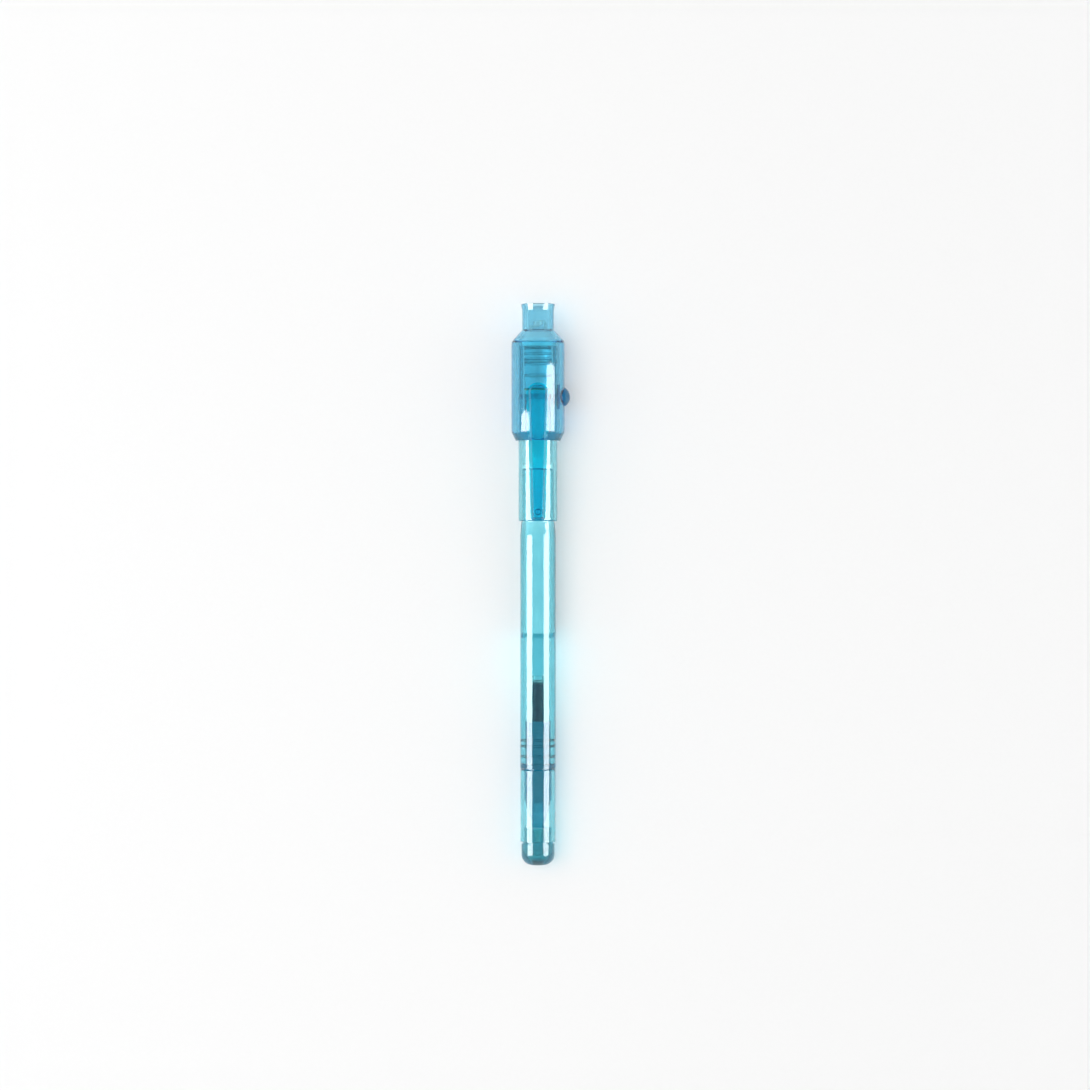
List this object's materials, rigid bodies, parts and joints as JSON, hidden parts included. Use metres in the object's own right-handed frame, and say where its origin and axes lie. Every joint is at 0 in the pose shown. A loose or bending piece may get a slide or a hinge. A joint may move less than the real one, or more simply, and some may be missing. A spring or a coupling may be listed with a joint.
{
  "type": "pen with ultraviolet light cap",
  "caption": "Clear aqua two-ended pen: fibre tip under a clip cap with a push-button ultraviolet light, and a ballpoint refill under a small plugged end cap.",
  "frame": {"origin": "on the pen's axis, at the middle of the barrel's plain round length", "axes": "+Y runs along the pen to the light, +Z is the way the clip faces, +X is the button's side"},
  "size_m": [0.0149, 0.1422, 0.014],
  "materials": {
    "clear_aqua_plastic": "transparent tinted moulding, polished",
    "blue_button_plastic": "tinted moulding, polished",
    "white_plastic": "moulded, plain",
    "natural_polyethylene": "soft moulding, milky",
    "white_fibre": "bonded polyester fibre",
    "clear_film": "thin clear wrap",
    "clear_epoxy": "cast clear resin",
    "led_die": "bonded semiconductor die",
    "tinned_steel": "tinned",
    "nickel_plated_steel": "drawn and nickel plated",
    "spring_brass": "rolled spring strip",
    "clear_polypropylene": "extruded natural tube",
    "dark_blue_ink": "viscous ink",
    "follower_grease": "clear grease",
    "nickel_silver": "turned metal",
    "bright_steel": "ground ball"
  },
  "bodies": {
    "pen": {"barrel": "clear_aqua_plastic", "nib_holder": "white_plastic", "fibre_nib": "white_fibre", "ink_reservoir": "white_fibre", "reservoir_film": "clear_film", "point_section": "clear_aqua_plastic", "refill_tube": "clear_polypropylene", "refill_ink": "dark_blue_ink", "ink_follower": "follower_grease", "refill_point": "nickel_silver"},
    "light_cap": {"light_housing": "clear_aqua_plastic", "cap_sleeve": "clear_aqua_plastic", "nib_seal_cup": "natural_polyethylene", "battery_contact": "spring_brass", "led_holder": "white_plastic", "uv_led": "clear_epoxy", "led_chip": "led_die", "led_cathode_lead": "tinned_steel", "led_anode_lead": "tinned_steel", "button_cell_1": "nickel_plated_steel", "button_cell_2": "nickel_plated_steel", "button_cell_3": "nickel_plated_steel"},
    "button": {"push_button": "blue_button_plastic"},
    "leaf": {"switch_leaf": "spring_brass"},
    "small_cap": {"bottom_cap": "clear_aqua_plastic", "bottom_cap_plug": "clear_aqua_plastic"},
    "ball": {"writing_ball": "bright_steel"}
  },
  "joints": [
    {"name": "light_cap_pull", "type": "slide", "parent": "pen", "child": "light_cap", "axis": [0, 1, 0], "range_m": [0, 0.045]},
    {"name": "button_press", "type": "slide", "parent": "light_cap", "child": "button", "axis": [-1, 0, 0], "range_m": [0, 0.0006], "stiffness_N_per_m": 1500, "springref_m": -0.0005},
    {"name": "leaf_bend", "type": "hinge", "parent": "light_cap", "child": "leaf", "pos_m": [0.00455, 0.07785, 0], "axis": [0, 0, -1], "range_deg": [0, 2.51]},
    {"name": "small_cap_pull", "type": "slide", "parent": "pen", "child": "small_cap", "axis": [0, -1, 0], "range_m": [0, 0.03]},
    {"name": "ball_roll", "type": "hinge", "parent": "pen", "child": "ball", "pos_m": [0, -0.04855, 0], "axis": [1, 0, 0], "continuous": true}
  ],
  "couplings": [
    {"joint": "leaf_bend", "follows": "button_press", "rad_per_m": 72.201}
  ]
}
